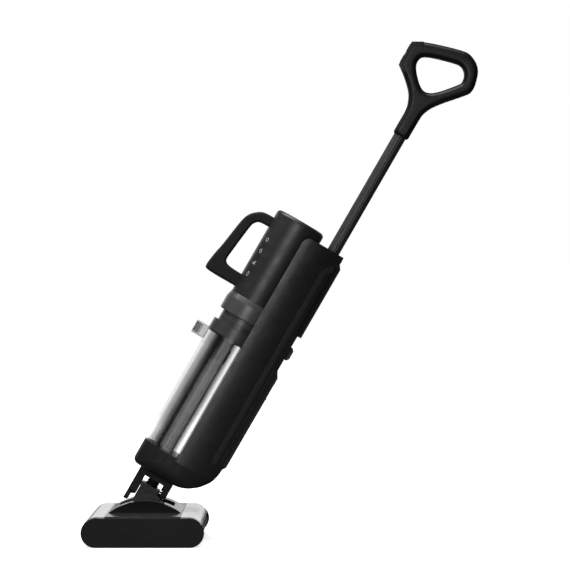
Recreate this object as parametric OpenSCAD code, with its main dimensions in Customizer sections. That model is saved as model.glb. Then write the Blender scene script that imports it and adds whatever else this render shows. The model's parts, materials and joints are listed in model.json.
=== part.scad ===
// Upright cordless floor washer with two powered rollers, modelled leaning back on its neck joint.
// The origin is on the floor under the middle of the floor head. +X is the rear, +Z is up.

/* [Floor head] */
// Overall length of the head, front to rear
head_len = 223.5; // [218:0.5:230]
// Overall width of the head across both end caps
head_w = 270; // [240:1:300]
// Height of the end caps
cap_h = 52.8; // [51:0.1:54]
// Thickness of one end cap
cap_t = 6; // [4:0.5:8]
// Height of the deck and cover tops above the floor
deck_z = 55.8; // [55:0.1:58]
// Radius of the soft pile on the rollers
pile_r = 23.8; // [23:0.1:24]
// Distance of each roller axis from the middle of the head
roller_x = 85.3; // [85:0.1:87]
// Height of the raised vault above the deck
vault_rise = 22; // [20:0.5:23]
// Width of the raised vault across the head
vault_w = 128; // [110:1:150]

/* [Neck] */
// Height of the tilt axis above the floor
pivot_z = 62; // [61:0.5:63]
// Lean of the body from upright
lean = 30; // [15:1:40]
// Radius of the tilting barrel of the neck
barrel_r = 30; // [28:0.5:31]
// Height of the swivel axis along the body, from the tilt axis
swivel_z = 33; // [32:0.5:34]

/* [Body] */
// Height along the body of the underside of the bowl
bowl_z = 61.3; // [60:0.1:63]
// Height along the body of the seat that carries the dirty tank
seat_z = 110; // [108:0.5:112]
// Height along the body of the top of the rear shell
shell_top = 585; // [570:1:600]
// Distance of the shell's front edges behind the tilt axis
wing_x = 5.3; // [3:0.1:8]
// Wall thickness of the housings
wall = 2.2; // [2:0.1:3]

/* [Vacuum unit and dirty tank] */
// Distance of the vacuum unit's axis in front of the tilt axis
unit_x = 15; // [13:0.5:17]
// Radius of the motor housing
motor_r = 49.3; // [47:0.1:50]
// Top of the motor housing along the body
motor_top = 604.5; // [600:0.5:612]
// Radius of the clear dirty tank
tank_r = 52.5; // [50:0.1:53]
// Height along the body of the joint between the tank and its lid
lid_z = 348; // [340:1:352]

/* [Pole and handle] */
// Diameter of the pole
pole_d = 24; // [20:0.5:26]
// Distance of the pole behind the tilt axis
pole_x = 64; // [60:0.5:66]
// Height along the body of the lower edge of the handle sleeve
sleeve_z = 832.7; // [780:0.1:880]
// Thickness of the handle loop
grip_t = 30; // [26:1:34]

/* [Hidden] */
$fn = 96;

fit = 0.05;                              // radial clearance of a running fit
gap = 0.3;                               // clearance between bodies that slide past each other
cap_r = cap_h / 2;
half_len = head_len / 2 - cap_r;         // distance of each cap's end centre from the middle
inner_y = head_w / 2 - cap_t;            // inner faces of the end caps
roller_z = pile_r + 0.6;
core_r = pile_r - 2.8;
core_y = inner_y - 3.5;                  // half length of a roller
core_bore = core_r - 2.5;
hub_r = 7;                               // end cap stub that carries a roller
drive_r = 3;                             // shaft from a drive motor into its roller
motor_y = -36;                           // inner end of a drive motor
web_y = -14;                             // roller web that the drive shaft is pressed into
web_t = 6;
deck_t = 5;
deck_x = 68.7;
chassis_z = 3;
chassis_top = deck_z - deck_t;
plate_z = chassis_z + wall;              // steel plate in the floor of the chassis
plate_x = [-58, 40];                     // set forward, under the front roller's side
plate_t = 10;
plate_top = plate_z + plate_t;
vault_x = 67;
vault_r = (vault_x * vault_x + vault_rise * vault_rise) / (2 * vault_rise);
vault_cz = deck_z + vault_rise - vault_r;
slot_x = [-50, 52];                      // slot in the vault that the neck swings in
slot_y = 30;
cheek_t = 3;
trunnion_r = 7;
barrel_y = 21;
block_y = [24, 38];
block_r = 11.5;
column_x = [-30, 10];                    // neck column, front and rear faces
column_y = 15;
column_top = 38;
duct_x = -12;
duct_r = 12;
swivel_r = 4;
yoke_x = -47;
yoke_y = 15;
side_r = 136;                            // flank arcs of the body outline
side_c = [10, 80];                       // their centres: distance behind the tilt axis and across
nose_r = 52.39;
nose_x = -14.31;
tail_r = 49.31;
tail_x = 43.4;
tail_join = 62.4;                        // where the tail arc meets the flank arcs
seam_z = 104;
heel = [18.4, 130.5, 69.2];              // round heel of the bowl: centre and radius
recess_x = 84.8;                         // flat recess behind the shell, above the clean tank
recess_z = [342, 415.7];
cover_top = 562.5;
cradle_r = tank_r + 1.5;
pocket_x = 45.5;
pocket_y = 34;
pocket_z = [137, 342];
jar_z = seat_z + 0.5;
neck_r = 45;                             // waist between the tank lid and the filter collar
waist_z = [370, 380, 392];
collar_z = [418, 430];
collar_r = 53;
port_x = -25.5;                          // dirty water port in the floor of the tank
pipe_r = 15.5;                           // standpipe above the port
pipe_wall = 1.6;
pole_r = pole_d / 2;
pole_wall = 1.3;
socket_r = pole_r + 3;
pole_foot = shell_top - 100;
sleeve_r = 15.6;
button_x = -5.3;                         // flat on the handle that carries the buttons
button_z = [963.5, 987];
latch_z = [366, 392];
shell_back = 86.3;                       // back of the shell at its top
release_r = 4.5;                         // button that frees the pole
release_z = shell_top - 8;
spray_x = 60.5;                          // spray bars that wet the rollers
spray_z = 43;
nozzle_y = [for (i = [-3 : 3]) i * 35];
nozzle_a = 70;
head_screw_x = 30;
head_screw_y = 100;
pump_at = [42, 0, 88];
spigot_y = 20;                           // outlet of the pump, beside its middle
flap_z = [284, 312];                     // fill opening of the clean tank
flap_y = 15;
flap_x = 87;
fill_r = 10.5;                           // hole behind the flap
flap_hinge = [92.5, flap_z[0] + gap];
mark_z = [543.8, 519.5, 495.1, 470.8];   // row of status marks on the left flank
mark_a = 218.5;
mark_r = 4;
float_at = [port_x + unit_x, 32, 0];     // float cage, beside the standpipe
float_r = 12;
float_z = [286, 310];
vent_at = [24, -6, 0];                   // air hole in the floor of the tank's lid
vent_r = 15;
latch_y = 14;                            // half width of the tank's latch housing

// ---- placing and shaping helpers ----

// The body's own frame: X to its rear, Z up along it, origin on the tilt axis
module body() {
  translate([0, 0, pivot_z]) rotate([0, lean, 0]) children();
}

// A profile drawn in X and Z, carried across from y0 to y1
module across(y0, y1) {
  translate([0, y1, 0]) rotate([90, 0, 0]) linear_extrude(y1 - y0) children();
}

// A profile drawn in X and Y, carried up from z0 to z1
module rise(z0, z1) {
  translate([0, 0, z0]) linear_extrude(z1 - z0) children();
}

module rod_x(r, x0, x1) {
  translate([x0, 0, 0]) rotate([0, 90, 0]) cylinder(r = r, h = x1 - x0);
}

module rod_y(r, y0, y1) {
  translate([0, y1, 0]) rotate([90, 0, 0]) cylinder(r = r, h = y1 - y0);
}

module rod_z(r, z0, z1) {
  translate([0, 0, z0]) cylinder(r = r, h = z1 - z0);
}

// A block between two corners
module block(a, b) {
  translate(a) cube(b - a);
}

// A rectangle between two corners
module panel(a, b) {
  translate(a) square(b - a);
}

// One outline with its corners cut once: each corner is replaced by two points
function cut_corners(pts) = [
  for (i = [0 : len(pts) - 1], t = [0.25, 0.75])
    pts[i] + t * (pts[(i + 1) % len(pts)] - pts[i])
];
function rounded(pts) = cut_corners(cut_corners(pts));

// A clockwise outline moved inwards by d
function moved_in(pts, d) = [
  for (i = [0 : len(pts) - 1])
    let (
      before = pts[i] - pts[(i + len(pts) - 1) % len(pts)],
      after = pts[(i + 1) % len(pts)] - pts[i],
      along = before / norm(before) + after / norm(after)
    )
    pts[i] + d / norm(along) * [along[1], -along[0]]
];

// Horizontal outline of the body: two flank arcs, a nose arc and a tail arc, all tangent
module outline(inset = 0) {
  intersection() {
    translate([side_c[0], -side_c[1]]) circle(r = side_r - inset, $fn = 200);
    translate([side_c[0], side_c[1]]) circle(r = side_r - inset, $fn = 200);
    panel([nose_x, -80], [tail_join, 80]);
  }
  translate([nose_x, 0]) circle(r = nose_r - inset);
  translate([tail_x, 0]) circle(r = tail_r - inset);
}

// ---- floor head ----

module stadium(inset = 0) {
  for (x = [-half_len, half_len]) translate([x, cap_r]) circle(r = cap_r - inset);
  panel([-half_len, inset], [half_len, cap_h - inset]);
}

module end_cap(side) {
  screw_depth = 4;
  difference() {
    union() {
      translate([0, side * (inner_y + cap_t / 2), 0]) across(-cap_t / 2, cap_t / 2) stadium();
      if (side > 0)
        for (s = [-1, 1])
          translate([s * roller_x, 0, roller_z]) rod_y(hub_r, core_y - 7, inner_y + 1);
    }
    for (x = [-50, 50])
      translate([x, side * inner_y, roller_z]) rod_y(1.5, -screw_depth, screw_depth);
  }
}

module end_cap_left() {
  color([0.13, 0.13, 0.13]) end_cap(-1);
}

module end_cap_right() {
  color([0.13, 0.13, 0.13]) end_cap(1);
}

// Section between the rollers, with walls that follow them
module chassis_section(inset = 0) {
  difference() {
    panel([-deck_x + 0.2 + inset, chassis_z + inset], [deck_x - 0.2 - inset, chassis_top - inset]);
    for (s = [-1, 1]) translate([s * roller_x, roller_z]) circle(r = pile_r + 1.5 + inset);
  }
}

module head_screw_places() {
  for (x = [-head_screw_x, head_screw_x], y = [-head_screw_y, 0, head_screw_y])
    translate([x, y, 0]) children();
}

module chassis_base() {
  mouth_z = [plate_top + 2, plate_top + 9];
  color([0.16, 0.16, 0.17]) difference() {
    across(-inner_y + 0.2, inner_y - 0.2) chassis_section();
    across(-inner_y + wall + 0.2, inner_y - wall - 0.2) chassis_section(wall);
    block([-60, -58, chassis_top - wall - 1], [60, 58, chassis_top + 1]);
    block([-70, -60, mouth_z[0]], [70, 60, mouth_z[1]]);
    for (s = [-1, 1], y = nozzle_y)
      translate([s * spray_x, y, spray_z]) rotate([0, s * nozzle_a, 0]) cylinder(r = 1.5, h = 12);
    head_screw_places() rod_z(1.6, chassis_z - 1, plate_z + 1);
  }
}

module spray_bars() {
  color([0.55, 0.57, 0.6]) for (s = [-1, 1]) {
    translate([s * spray_x, 0, spray_z]) rod_y(2.6, -118, 118);
    for (y = nozzle_y)
      translate([s * spray_x, y, spray_z]) rotate([0, s * nozzle_a, 0]) cylinder(r = 1.5, h = 7);
  }
}

module base_plate() {
  color([0.6, 0.6, 0.62]) difference() {
    block([plate_x[0], -120, plate_z], [plate_x[1], 120, plate_top]);
    head_screw_places() rod_z(1.6, 0, 20);
  }
}

module head_screws() {
  color([0.7, 0.7, 0.72]) head_screw_places() {
    rod_z(1.6, chassis_z, plate_top);
    rod_z(3.2, chassis_z - 1.2, chassis_z);
  }
}

// One cover in X and Z: flat top, a round outer arc and a hollow that follows the roller
module cover_section() {
  difference() {
    intersection() {
      union() {
        panel([69, 44], [83.3, deck_z]);
        translate([83.3, 29]) circle(r = deck_z - 29);
      }
      polygon([[69, 40], [69, 60], [140, 60], [83.3 + 60 * cos(20), 29 + 60 * sin(20)], [83.3, 29]]);
    }
    translate([83.8, 28]) circle(r = pile_r + 1.1);
  }
}

module roller_cover(s) {
  color([0.77, 0.78, 0.8]) across(-inner_y + gap, inner_y - gap)
    mirror([s < 0 ? 1 : 0, 0]) cover_section();
}

module front_roller_cover() {
  roller_cover(-1);
}

module rear_roller_cover() {
  roller_cover(1);
}

// Segment of the vault above a height, in X and Z
module vault_section(r, z0) {
  intersection() {
    translate([0, vault_cz]) circle(r = r, $fn = 200);
    panel([-80, z0], [80, 100]);
  }
}

module centre_deck() {
  half = vault_w / 2 - cheek_t;
  color([0.48, 0.48, 0.49]) difference() {
    union() {
      block([-deck_x, -inner_y + gap, chassis_top], [deck_x, inner_y - gap, deck_z]);
      across(-half, half) vault_section(vault_r, deck_z - 1);
    }
    across(-half + wall, half - wall) vault_section(vault_r - wall, chassis_top - 1);
    block([slot_x[0], -slot_y, 40], [slot_x[1], slot_y, 100]);
  }
}

module vault_cheeks() {
  color([0.1, 0.1, 0.1]) for (s = [-1, 1])
    across(s > 0 ? vault_w / 2 - cheek_t : -vault_w / 2, s > 0 ? vault_w / 2 : -vault_w / 2 + cheek_t)
      vault_section(vault_r, deck_z);
}

module pivot_blocks() {
  color([0.2, 0.2, 0.2]) for (s = [-1, 1])
    across(s > 0 ? block_y[0] : -block_y[1], s > 0 ? block_y[1] : -block_y[0]) difference() {
      union() {
        translate([0, pivot_z]) circle(r = block_r);
        panel([-block_r, plate_top], [block_r, pivot_z]);
      }
      translate([0, pivot_z]) circle(r = trunnion_r + fit);
    }
}

// Box that joins both roller mouths and seals against the underside of the barrel
module suction_duct() {
  top = 45;
  color([0.3, 0.3, 0.32]) difference() {
    block([-34, -20.5, plate_top], [34, 20.5, top]);
    translate([0, 0, pivot_z]) rod_y(barrel_r + 0.4, -30, 30);
    block([-35, -18, plate_top + 2], [35, 18, plate_top + 12]);
    block([-28, -11, plate_top + 8], [4, 11, 60]);
  }
}

module squeegee_blades() {
  color([0.08, 0.08, 0.08]) for (s = [-1, 1])
    block([s * 54 - 1.2, -112, 0.8], [s * 54 + 1.2, 112, chassis_z]);
}

// ---- rollers ----

module roller_core(s) {
  color([0.35, 0.36, 0.38]) translate([s * roller_x, 0, roller_z]) difference() {
    rod_y(core_r, -core_y, core_y);
    rod_y(core_bore, -core_y - 1, web_y);
    rod_y(core_bore, web_y + web_t, core_y - 7.5);
    rod_y(hub_r + fit, core_y - 10, core_y + 1);
    rod_y(drive_r, web_y - 1, web_y + web_t + 1);
  }
}

module roller_pile(s) {
  color([0.38, 0.39, 0.42]) translate([s * roller_x, 0, roller_z]) difference() {
    rod_y(pile_r, -core_y + 1, core_y - 1);
    rod_y(core_r, -core_y, core_y);
  }
}

module roller_shaft(s) {
  color([0.75, 0.75, 0.77]) translate([s * roller_x, 0, roller_z])
    rod_y(drive_r, motor_y - 24, web_y + web_t);
}

module drive_motor(s) {
  flange_y = -core_y + 8;
  color([0.5, 0.5, 0.52]) translate([s * roller_x, 0, roller_z]) difference() {
    union() {
      rod_y(core_bore - fit, -inner_y, flange_y);
      rod_y(15.5, -inner_y + 1, motor_y);
    }
    rod_y(drive_r + fit, motor_y - 26, motor_y + 1);
  }
}

module front_roller_core() {
  roller_core(-1);
}

module front_roller_pile() {
  roller_pile(-1);
}

module front_roller_shaft() {
  roller_shaft(-1);
}

module front_drive_motor() {
  drive_motor(-1);
}

module rear_roller_core() {
  roller_core(1);
}

module rear_roller_pile() {
  roller_pile(1);
}

module rear_roller_shaft() {
  roller_shaft(1);
}

module rear_drive_motor() {
  drive_motor(1);
}

// ---- neck ----

module neck_knuckle() {
  color([0.11, 0.11, 0.12]) body() difference() {
    union() {
      rod_y(barrel_r, -barrel_y, barrel_y);
      block([column_x[0], -column_y, 0], [column_x[1], column_y, column_top]);
    }
    translate([duct_x, 0, 0]) rod_z(duct_r, -barrel_r - 1, column_top + 1);
    rod_y(trunnion_r, -barrel_y - 1, -13);
    rod_y(trunnion_r, 13, barrel_y + 1);
    translate([0, 0, swivel_z]) {
      rod_x(swivel_r + fit, column_x[0] - 1, column_x[1] + 1);
      rod_x(yoke_y + 2.5, column_x[1] - 3, 40);
    }
  }
}

module tilt_pins() {
  color([0.7, 0.7, 0.72]) body() for (s = [-1, 1])
    rod_y(trunnion_r, s > 0 ? 13 : -block_y[1] + 1, s > 0 ? block_y[1] - 1 : -13);
}

// Fork that straddles the neck column, in X and Z
module yoke_section() {
  polygon([[yoke_x, bowl_z], [18.4, bowl_z], [23, bowl_z - 5], [23, 28], [11, 28], [11, 40], [7.5, 40],
    [7.5, 50], [-32, 50], [-32, 39], [-31, 39], [-31, 11], [-38.6, 8], [-38.6, -4], [-41, -6],
    [yoke_x, -6]]);
}

module yoke() {
  tongue_y = 5.5;
  color([0.17, 0.17, 0.18]) body() difference() {
    intersection() {
      across(-yoke_y, yoke_y) yoke_section();
      union() {
        rod_x(yoke_y, -60, 0);
        translate([0, 0, swivel_z]) rod_x(yoke_y, -60, 40);
        block([-60, -yoke_y, swivel_z], [40, yoke_y, bowl_z]);
        block([-60, -tongue_y, -6], [-20, tongue_y, swivel_z]);
        block([-60, -yoke_y, 14], [-20, yoke_y, swivel_z]);
      }
    }
    translate([duct_x, 0, 0]) rod_z(duct_r + 1, 45, 70);
    translate([0, 0, swivel_z]) rod_x(swivel_r, yoke_x + 3, 20);
  }
}

module swivel_pins() {
  color([0.7, 0.7, 0.72]) body() translate([0, 0, swivel_z]) {
    rod_x(swivel_r, yoke_x + 3, duct_x - duct_r - 0.5);
    rod_x(swivel_r, duct_x + duct_r + 0.5, 20);
  }
}

module neck_bellows() {
  rings = 5;
  base = column_top + gap;
  pitch = (bowl_z - base) / rings;
  color([0.06, 0.06, 0.06]) body() translate([duct_x, 0, 0]) rotate_extrude() polygon(concat(
    [[duct_r - 2.5, bowl_z], [duct_r - 2.5, base]],
    [for (i = [0 : rings - 1], e = [[0.1, -1.4], [0.5, 0.6], [0.9, -1.4]])
      [duct_r + e[1], base + (i + e[0]) * pitch]]
  ));
}

// ---- body frame: bowl and rear shell ----

module bowl_side(inset = 0) {
  r = 11;
  translate([-55.7, bowl_z + r]) circle(r = r - inset);
  panel([-66.7 + inset, bowl_z + r], [heel[0], seat_z]);
  panel([-55.7, bowl_z + inset], [heel[0], seat_z]);
  intersection() {
    translate([heel[0], heel[1]]) circle(r = heel[2] - inset);
    panel([heel[0] - 1, 0], [120, seat_z]);
  }
}

module bowl_front(inset = 0) {
  r = 46;
  for (s = [-1, 1]) translate([s * 10, bowl_z + r]) circle(r = r - inset);
  panel([-10, bowl_z + inset], [10, seat_z]);
  panel([-56 + inset, bowl_z + r], [56 - inset, seat_z + 50]);
}

module bowl_form(inset, top) {
  intersection() {
    rise(bowl_z - 1, top) outline(inset);
    across(-70, 70) bowl_side(inset);
    rotate([0, 0, 90]) across(-120, 120) bowl_front(inset);
  }
}

module bowl() {
  color([0.14, 0.14, 0.15]) body() difference() {
    bowl_form(0, seat_z);
    bowl_form(wall, seat_z - wall - 1);
    block([wing_x, -80, seam_z], [120, 80, 130]);
    translate([duct_x, 0, 0]) rod_z(duct_r + 1, 50, 80);
    translate([port_x, 0, 0]) rod_z(pipe_r + 2, 90, 120);
  }
}

// Side view of the rear shell, in X and Z
module shell_side(inset = 0) {
  nose = 15;
  low = seam_z + inset;
  top = shell_top - inset;
  intersection() {
    translate([heel[0], heel[1]]) circle(r = heel[2] - inset);
    panel([wing_x, low], [heel[0] + heel[2], heel[1]]);
  }
  translate([wing_x + nose, shell_top - nose]) circle(r = nose - inset);
  polygon([[wing_x + inset, low], [heel[0] + 50, low], [heel[0] + 50, heel[1] - 5],
    [heel[0] + heel[2] - inset, heel[1]], [heel[0] + heel[2] - inset, 131], [92.8 - inset, 137],
    [92.8 - inset, recess_z[0] - 14], [recess_x - inset, recess_z[0]],
    [recess_x - inset, recess_z[1]], [92.8 - inset, recess_z[1] + inset], [92.8 - inset, cover_top],
    [shell_back - inset, cover_top + 8.5], [shell_back - inset, top], [wing_x + nose, top],
    [wing_x + inset, shell_top - nose]]);
}

module shell_form(inset) {
  difference() {
    intersection() {
      rise(seam_z + inset, shell_top - inset) outline(inset);
      across(-70, 70) shell_side(inset);
    }
    cradle(cradle_r + inset);
    block([-80, -80, 90], [wing_x + inset, 80, 620]);
  }
}

// The trough behind the tank and the vacuum unit
module cradle(r) {
  translate([-unit_x, 0, 0]) rod_z(r, seam_z - 10, shell_top + 10);
}

// The bay that the clean tank slides into, from the rear
module bay(grow = 0) {
  block([pocket_x - grow, -pocket_y - grow, pocket_z[0] - gap - grow],
    [100, pocket_y + grow, pocket_z[1] + gap + grow]);
}

module rear_shell() {
  slot_y = 8;
  color([0.22, 0.22, 0.23]) body() difference() {
    union() {
      difference() {
        shell_form(0);
        shell_form(wall);
      }
      intersection() {
        shell_form(0);
        bay(gap + 2);
      }
    }
    bay(gap);
    cradle(cradle_r + wall + fit);
    block([70, -pocket_y, recess_z[1] + 1], [100, pocket_y, cover_top - 1]);
    block([recess_x - wall - 1, -slot_y, latch_z[0] - 2], [100, slot_y, latch_z[1] - 2]);
    translate([pole_x, 0, 0]) rod_z(socket_r, shell_top - wall - 1, shell_top + 1);
    translate([0, 0, release_z]) rod_x(release_r + gap, pole_x + 10, 100);
    translate([pole_x - 4, 0, 0]) rod_z(6, pocket_z[0] - 10, pocket_z[0]);
    for (s = [-1, 1]) translate([50, s * 30, 0]) rod_z(1.5, seam_z - 1, seam_z + wall + 1);
    translate([pump_at[0], spigot_y, 0]) rod_z(3 + fit, seam_z - 1, seam_z + wall + 1);
  }
}

// Panel that closes the front of the shell behind the tank and the vacuum unit
module cradle_panel() {
  color([0.2, 0.2, 0.21]) body() difference() {
    intersection() {
      shell_form(0);
      cradle(cradle_r + wall);
    }
    cradle(cradle_r);
  }
}

module rear_cover() {
  color([0.17, 0.17, 0.18]) body() difference() {
    intersection() {
      shell_form(0);
      block([70, -pocket_y + gap, recess_z[1] + 1 + gap], [100, pocket_y - gap, cover_top - 1 - gap]);
    }
    rise(0, 700) outline(wall);
  }
}

module pole_socket() {
  color([0.2, 0.2, 0.2]) body() translate([pole_x, 0, 0]) difference() {
    rod_z(socket_r, pole_foot - 4, shell_top);
    rod_z(pole_r + fit, pole_foot, shell_top + 1);
    translate([0, 0, release_z]) rod_x(release_r + gap, pole_r, 40);
  }
}

module water_pump() {
  color([0.35, 0.36, 0.38]) body() translate(pump_at) {
    rod_y(14, -26, 14);
    rod_y(9, 14, 26);
    translate([0, spigot_y, 0]) rod_z(3, 5, 18);
  }
}

module frame_board() {
  color([0.1, 0.3, 0.18]) body() block([52, -24, 352], [54, 24, 410]);
}

module seat_gasket() {
  color([0.07, 0.07, 0.07]) body() translate([port_x, 0, 0]) difference() {
    rod_z(pipe_r + 2, seat_z - wall, seat_z + 0.4);
    rod_z(pipe_r - 1, seat_z - 10, seat_z + 1);
  }
}

// ---- clean water tank ----

module tank_block(inset) {
  intersection() {
    block([pocket_x + inset, -pocket_y + inset, pocket_z[0] + inset],
      [100, pocket_y - inset, pocket_z[1] - inset]);
    rise(100, 400) outline(inset);
    across(-70, 70) shell_side(inset);
  }
}

module clean_tank() {
  color([0.19, 0.19, 0.2]) body() difference() {
    tank_block(0);
    difference() {
      tank_block(2);
      block([flap_x - 5, -flap_y - 3, flap_z[0] - 3], [100, flap_y + 3, flap_z[1] + 3]);
    }
    block([flap_x, -flap_y, flap_z[0]], [100, flap_y, flap_z[1]]);
    translate([0, 0, (flap_z[0] + flap_z[1]) / 2]) rod_x(fill_r, 80, 95);
    translate([flap_hinge[0], 0, flap_hinge[1]]) rod_y(1.4, -flap_y, flap_y);
    translate([pole_x - 4, 0, 0]) rod_z(4, pocket_z[0] - 1, pocket_z[0] + 5);
  }
}

module fill_flap() {
  color([0.1, 0.1, 0.1]) body() {
    intersection() {
      block([flap_x + gap, -flap_y + gap, flap_z[0] + gap], [100, flap_y - gap, flap_z[1] - gap]);
      rise(200, 400) outline(0.3);
    }
    translate([0, 0, (flap_z[0] + flap_z[1]) / 2]) rod_x(fill_r - 2, flap_x - 3, flap_x + 1);
    translate([flap_hinge[0], 0, flap_hinge[1]]) rod_y(1, -flap_y + 1, flap_y - 1);
  }
}

module clean_tank_latch() {
  color([0.12, 0.12, 0.12]) body() {
    intersection() {
      block([recess_x + gap, -15, latch_z[0]], [92.8, 15, latch_z[1]]);
      across(-20, 20) polygon([[80, latch_z[0]], [89, latch_z[0]], [92.8, latch_z[0] + 5],
        [92.8, latch_z[1] - 5], [89, latch_z[1]], [80, latch_z[1]]]);
    }
    block([recess_x - wall - 2, -7.6, latch_z[0] + 4], [recess_x + 1, 7.6, latch_z[1] - 10]);
  }
}

// ---- vacuum unit ----

module unit() {
  body() translate([-unit_x, 0, 0]) children();
}

module filter_collar() {
  color([0.3, 0.3, 0.31]) unit() rotate_extrude() polygon([[neck_r - 4, waist_z[1]], [neck_r, waist_z[1]],
    [neck_r, waist_z[2]], [collar_r - 1, waist_z[2]], [collar_r, waist_z[2] + 1],
    [collar_r, collar_z[0]], [motor_r + 0.2, collar_z[1]], [motor_r - wall, collar_z[1]],
    [motor_r - wall, collar_z[0]], [neck_r - 4, waist_z[2]]]);
}

// Ring of pleats, seen from above
module pleated_filter() {
  pleats = 36;
  color([0.85, 0.85, 0.82]) unit() difference() {
    rise(waist_z[1] + 2, collar_z[0] - 2)
      polygon([for (i = [0 : 2 * pleats - 1]) let (r = i % 2 == 0 ? 38 : 32)
        [r * cos(i * 180 / pleats), r * sin(i * 180 / pleats)]]);
    rod_z(28, waist_z[1], collar_z[0]);
  }
}

module motor_housing() {
  vents = 7;
  color([0.3, 0.3, 0.31]) unit() difference() {
    rod_z(motor_r, collar_z[1], motor_top - 7);
    rod_z(motor_r - wall, collar_z[1] + wall, motor_top);
    rod_z(26, collar_z[1] - 1, collar_z[1] + wall + 1);
    for (i = [0 : vents - 1])
      block([20, -18, 448 + i * 8], [60, 18, 451 + i * 8]);
    for (z = mark_z) mark(z, -0.4);
  }
}

module top_cover() {
  color([0.26, 0.26, 0.27]) unit() difference() {
    rotate_extrude() polygon(concat(
      [[0, motor_top - 7]],
      [for (a = [0 : 15 : 90]) [motor_r - 7 + 7 * cos(a), motor_top - 7 + 7 * sin(a)]],
      [[0, motor_top]]
    ));
    rod_z(motor_r - wall - 4, motor_top - 10, motor_top - wall);
    rod_z(30, motor_top - wall - 1, motor_top + 1);
  }
}

module display_window() {
  color([0.03, 0.03, 0.04]) unit() rod_z(30, motor_top - wall, motor_top - 0.4);
}

module suction_motor() {
  color([0.55, 0.56, 0.58]) unit() difference() {
    union() {
      rod_z(36, 456, 470);
      rod_z(27, 470, 508);
      rod_z(motor_r - wall, 466, 470);
    }
    rod_z(drive_r + fit, 450, 500);
  }
}

module impeller() {
  blades = 9;
  color([0.75, 0.76, 0.78]) unit() {
    rod_z(drive_r, 440, 495);
    rod_z(34, 436, 438.5);
    difference() {
      rod_z(9, 438.5, 448);
      rod_z(drive_r, 438, 450);
    }
    for (i = [0 : blades - 1]) rotate([0, 0, i * 360 / blades]) translate([8.5, -0.8, 438.5])
      rotate([0, 0, 18]) cube([24, 1.6, 8]);
  }
}

module battery_cells() {
  color([0.25, 0.4, 0.55]) unit() for (i = [0 : 5]) rotate([0, 0, i * 60 + 30])
    translate([28, 0, 0]) rod_z(9.2, 515, 580);
}

module control_board() {
  color([0.1, 0.3, 0.18]) unit() rod_z(motor_r - wall - 0.2, 586, 588);
}

// A round mark in the row on the housing's left flank
module mark(z, proud) {
  translate([0, 0, z]) rotate([0, 0, mark_a]) {
    if (proud > 0) rod_x(mark_r, motor_r - 0.4, motor_r + proud);
    else rod_x(mark_r, motor_r + proud, motor_r + 5);
  }
}

module status_marks() {
  color([0.82, 0.83, 0.84]) unit() for (z = mark_z) mark(z, 0.2);
}

module carry_loop() {
  half = 12;
  outer = [[-50, 586], [-86, 586], [-95.7, 579], [-105, 571], [-110.6, 562.5], [-114.4, 549],
    [-122.8, 489.5], [-125.6, 480], [-130.2, 448], [-126, 439], [-50, 439]];
  hole = [[-50, 566], [-84, 566], [-92, 557], [-94.7, 547.5], [-101.8, 478], [-101.8, 466], [-96, 464.3],
    [-50, 464.3]];
  color([0.16, 0.16, 0.17]) body() difference() {
    across(-half, half) difference() {
      polygon(rounded(outer));
      polygon(rounded(hole));
      panel([-55, 400], [-40, 620]);
    }
    translate([-unit_x, 0, 0]) rod_z(motor_r, 400, 620);
  }
}

// ---- dirty water tank ----

module tank_jar() {
  color([0.75, 0.78, 0.8, 0.4]) unit() difference() {
    rod_z(tank_r, jar_z, lid_z);
    rod_z(tank_r - 2.2, jar_z + 3, lid_z + 1);
    translate([port_x + unit_x, 0, 0]) rod_z(pipe_r, jar_z - 1, jar_z + 4);
  }
}

module standpipe() {
  color([0.3, 0.3, 0.3]) body() translate([port_x, 0, 0]) difference() {
    rod_z(pipe_r, jar_z, 326);
    rod_z(pipe_r - pipe_wall, jar_z - 1, 327);
  }
}

module tank_lid() {
  floor_z = lid_z - 3;
  hood_r = pipe_r + 0.4;
  color([0.25, 0.25, 0.26]) unit() difference() {
    union() {
      rod_z(tank_r, lid_z, waist_z[0]);
      rod_z(neck_r, waist_z[0], waist_z[1]);
      rod_z(tank_r - 2.4, floor_z, lid_z);
      translate(float_at) rod_z(float_r + 2, float_z[0] - 3, lid_z);
      translate([port_x + unit_x, 0, 0]) rod_z(hood_r + 1.6, 302, lid_z);
    }
    rod_z(tank_r - 5, lid_z, waist_z[0] - 3);
    rod_z(neck_r - 4, waist_z[0] - 3, waist_z[1] + 1);
    translate(float_at) {
      rod_z(float_r + 0.4, float_z[0], floor_z);
      rod_z(6, float_z[0] - 5, lid_z + 1);
    }
    for (a = [30 : 60 : 150]) translate(float_at) rotate([0, 0, a])
      block([0, -2.5, float_z[0] + 4], [float_r + 5, 2.5, floor_z - 8]);
    translate([port_x + unit_x, 0, 0]) rod_z(hood_r, 300, floor_z - 1);
    block([port_x + unit_x + 5, -8, 329], [port_x + unit_x + 25, 8, floor_z - 2]);
    translate(vent_at) rod_z(vent_r, floor_z - 1, lid_z + 2);
  }
}

module float() {
  color([0.9, 0.9, 0.88]) unit() translate(float_at) rod_z(float_r, float_z[0] + 0.2, float_z[1]);
}

module latch_housing() {
  color([0.85, 0.86, 0.87, 0.6]) body() difference() {
    block([-92, -latch_y, 325], [-60, latch_y, 350]);
    block([-93, -latch_y + 3, 328], [-78, latch_y - 3, 347]);
    translate([-unit_x, 0, 0]) rod_z(tank_r, 300, 400);
  }
}

module tank_latch() {
  color([0.3, 0.3, 0.31]) body()
    block([-91, -latch_y + 3 + gap, 328 + gap], [-82, latch_y - 3 - gap, 347 - gap]);
}

// ---- pole and handle ----

module pole() {
  color([0.33, 0.33, 0.34]) body() translate([pole_x, 0, 0]) difference() {
    rod_z(pole_r, pole_foot + 0.2, sleeve_z + 60);
    rod_z(pole_r - pole_wall, pole_foot - 1, sleeve_z + 61);
  }
}

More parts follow.
